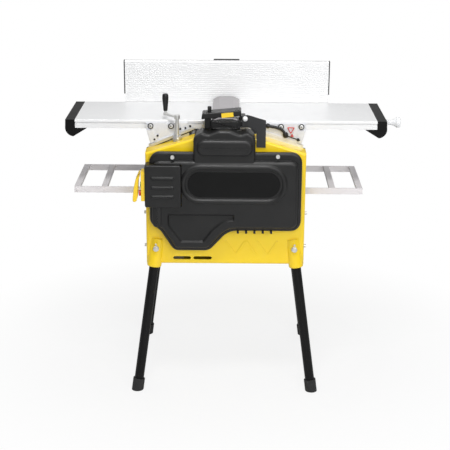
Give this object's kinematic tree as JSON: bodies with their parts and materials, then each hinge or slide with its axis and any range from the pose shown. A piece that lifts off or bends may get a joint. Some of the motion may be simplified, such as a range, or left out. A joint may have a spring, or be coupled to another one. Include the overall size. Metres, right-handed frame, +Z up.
{
  "type": "thickness planer",
  "caption": "Planer-thicknesser on four splayed legs, with a fence, planing tables, a rising thicknessing table with draw-out rails, and a bridge guard.",
  "frame": {"origin": "on the floor, under the middle of the machine's outline", "axes": "+X along the tables towards the depth knob, +Y from the drive cover to the fence, +Z up"},
  "size_m": [1.0594, 0.5811, 1.012],
  "materials": {
    "yellow_paint": "glossy powder coat",
    "black_plastic": "fine moulded grain",
    "table_aluminium": "fine milled",
    "cast_aluminium": "tumbled casting",
    "grey_paint": "satin",
    "black_paint": "satin",
    "rubber": "matt",
    "steel": "ground",
    "black_steel": "black oxide",
    "frame_iron": "as cast",
    "zinc": "zinc plated",
    "red_plastic": "glossy",
    "green_plastic": "glossy",
    "yellow_plastic": "glossy",
    "white_plastic": "glossy",
    "belt_rubber": "ribbed"
  },
  "bodies": {
    "body": {"front_panel": "yellow_paint", "rear_panel": "yellow_paint", "front_frame": "frame_iron", "rear_frame": "frame_iron", "base_tray": "black_paint", "legs": "black_paint", "rubber_feet": "rubber", "body_bolts": "zinc", "table_ways": "zinc", "shaft_bearings": "steel", "finger_rod": "zinc", "feed_gearbox": "cast_aluminium", "feed_chain": "steel", "drive_belt": "belt_rubber", "motor": "cast_aluminium", "fence_bracket": "cast_aluminium", "guard_bracket": "black_steel", "drive_cover": "black_plastic", "switch_box": "black_plastic", "outfeed_table": "table_aluminium", "outfeed_lip": "steel", "outfeed_end_cap": "black_plastic", "outfeed_saddle": "cast_aluminium"},
    "infeed": {"infeed_table": "table_aluminium", "infeed_lip": "steel", "infeed_end_cap": "black_plastic", "infeed_saddle": "cast_aluminium", "infeed_table_bolts": "zinc"},
    "depth_adjuster": {"depth_knob": "white_plastic", "depth_screw": "zinc"},
    "depth_nut": {"depth_nut": "steel"},
    "cutter": {"cutter_block": "steel", "cutter_knives": "steel", "cutter_pulley": "cast_aluminium"},
    "motor_rotor": {"motor_shaft": "steel", "motor_pulley": "cast_aluminium"},
    "feed_in": {"feed_in_roller": "steel"},
    "feed_out": {"feed_out_roller": "steel"},
    "gearbox_output": {"gearbox_sprocket": "steel"},
    "fingers": {"kickback_fingers": "steel"},
    "bed": {"thicknesser_table": "table_aluminium", "lift_nut": "cast_aluminium"},
    "left_ladder": {"left_extension": "grey_paint"},
    "right_ladder": {"right_extension": "grey_paint"},
    "lift_crank": {"lift_screw": "zinc", "crank": "zinc"},
    "crank_grip": {"crank_grip": "black_plastic"},
    "fence_carriage": {"fence_arm": "zinc"},
    "fence_lock": {"fence_lock_knob": "black_plastic"},
    "fence_tilt_lock": {"fence_tilt_knob": "black_plastic"},
    "fence": {"fence": "table_aluminium", "fence_end_caps": "black_plastic", "fence_tilt_plate": "black_steel"},
    "guard_carrier": {"guard_carrier": "black_plastic"},
    "guard": {"bridge_guard": "grey_paint"},
    "guard_clamp": {"guard_clamp_knob": "white_plastic"},
    "guard_height": {"guard_height_screw": "black_plastic"},
    "stop_button": {"stop_button": "red_plastic"},
    "start_button": {"start_button": "green_plastic"},
    "stop_flap": {"stop_flap": "yellow_plastic"}
  },
  "joints": [
    {"name": "infeed_depth", "type": "slide", "parent": "body", "child": "infeed", "axis": [0.9559, 0, -0.2936], "range_m": [0, 0.0135]},
    {"name": "depth_knob_turn", "type": "hinge", "parent": "infeed", "child": "depth_adjuster", "pos_m": [0.48167, -0.09436, 0.855], "axis": [1, 0, 0], "range_deg": [0, 1162.4]},
    {"name": "depth_nut_drop", "type": "slide", "parent": "body", "child": "depth_nut", "axis": [0, 0, -1], "range_m": [0, 0.00406]},
    {"name": "cutter_spin", "type": "hinge", "parent": "body", "child": "cutter", "pos_m": [-0.03133, -0.01436, 0.8385], "axis": [0, 1, 0], "continuous": true},
    {"name": "motor_spin", "type": "hinge", "parent": "body", "child": "motor_rotor", "pos_m": [-0.12833, -0.01436, 0.528], "axis": [0, 1, 0], "continuous": true},
    {"name": "feed_in_spin", "type": "hinge", "parent": "body", "child": "feed_in", "pos_m": [-0.08333, -0.01436, 0.82], "axis": [0, 1, 0], "continuous": true},
    {"name": "feed_out_spin", "type": "hinge", "parent": "body", "child": "feed_out", "pos_m": [0.02067, -0.01436, 0.82], "axis": [0, 1, 0], "continuous": true},
    {"name": "gearbox_spin", "type": "hinge", "parent": "body", "child": "gearbox_output", "pos_m": [-0.08233, 0.13064, 0.556], "axis": [0, 1, 0], "continuous": true},
    {"name": "finger_lift", "type": "hinge", "parent": "body", "child": "fingers", "pos_m": [-0.12533, -0.01436, 0.828], "axis": [0, -1, 0], "range_deg": [0, 32]},
    {"name": "table_lift", "type": "slide", "parent": "body", "child": "bed", "axis": [0, 0, 1], "range_m": [-0.005, 0.145]},
    {"name": "crank_turn", "type": "hinge", "parent": "body", "child": "lift_crank", "pos_m": [-0.17533, -0.18436, 0.885], "axis": [0, 0, 1], "range_deg": [-452, 13052]},
    {"name": "crank_grip_spin", "type": "hinge", "parent": "lift_crank", "child": "crank_grip", "pos_m": [-0.21338, -0.14059, 0.925], "axis": [0, 0, 1], "continuous": true},
    {"name": "left_ladder_draw", "type": "slide", "parent": "bed", "child": "left_ladder", "axis": [1, 0, 0], "range_m": [0, 0.15]},
    {"name": "right_ladder_draw", "type": "slide", "parent": "bed", "child": "right_ladder", "axis": [-1, 0, 0], "range_m": [-0.047, 0.103]},
    {"name": "fence_slide", "type": "slide", "parent": "body", "child": "fence_carriage", "axis": [0, -1, 0], "range_m": [0, 0.006]},
    {"name": "fence_lock_turn", "type": "hinge", "parent": "body", "child": "fence_lock", "pos_m": [-0.02333, 0.19464, 0.89], "axis": [0, 0, 1], "range_deg": [0, 180]},
    {"name": "fence_tilt", "type": "hinge", "parent": "fence_carriage", "child": "fence", "pos_m": [-0.02333, 0.13464, 0.883], "axis": [-1, 0, 0], "range_deg": [0, 45]},
    {"name": "fence_tilt_lock_turn", "type": "hinge", "parent": "fence_carriage", "child": "fence_tilt_lock", "pos_m": [0.01667, 0.13464, 0.883], "axis": [1, 0, 0], "range_deg": [0, 180]},
    {"name": "guard_rise", "type": "slide", "parent": "body", "child": "guard_carrier", "axis": [0, 0, 1], "range_m": [0, 0.05]},
    {"name": "guard_slide", "type": "slide", "parent": "guard_carrier", "child": "guard", "axis": [0, -1, 0], "range_m": [0, 0.15]},
    {"name": "guard_clamp_turn", "type": "hinge", "parent": "body", "child": "guard_clamp", "pos_m": [0.03567, -0.23936, 0.897], "axis": [0, 1, 0], "range_deg": [0, 180]},
    {"name": "guard_height_turn", "type": "hinge", "parent": "guard_carrier", "child": "guard_height", "pos_m": [-0.07433, -0.18936, 0.915], "axis": [0, 0, 1], "range_deg": [0, 360]},
    {"name": "stop_press", "type": "slide", "parent": "body", "child": "stop_button", "axis": [1, 0, 0], "range_m": [0, 0.003], "stiffness_N_per_m": 800},
    {"name": "start_press", "type": "slide", "parent": "body", "child": "start_button", "axis": [1, 0, 0], "range_m": [0, 0.0025], "stiffness_N_per_m": 800},
    {"name": "flap_lift", "type": "hinge", "parent": "body", "child": "stop_flap", "pos_m": [-0.28713, -0.25836, 0.73], "axis": [0, 1, 0], "range_deg": [0, 70]}
  ],
  "couplings": [
    {"joint": "depth_knob_turn", "follows": "infeed_depth", "rad_per_m": 1501.5},
    {"joint": "depth_nut_drop", "follows": "infeed_depth", "ratio": 0.29365},
    {"joint": "crank_turn", "follows": "table_lift", "rad_per_m": 1570.8},
    {"joint": "motor_spin", "follows": "cutter_spin", "ratio": 0.45783},
    {"joint": "feed_in_spin", "follows": "cutter_spin", "ratio": -0.0152},
    {"joint": "feed_out_spin", "follows": "cutter_spin", "ratio": -0.0152},
    {"joint": "gearbox_spin", "follows": "cutter_spin", "ratio": -0.0152}
  ]
}
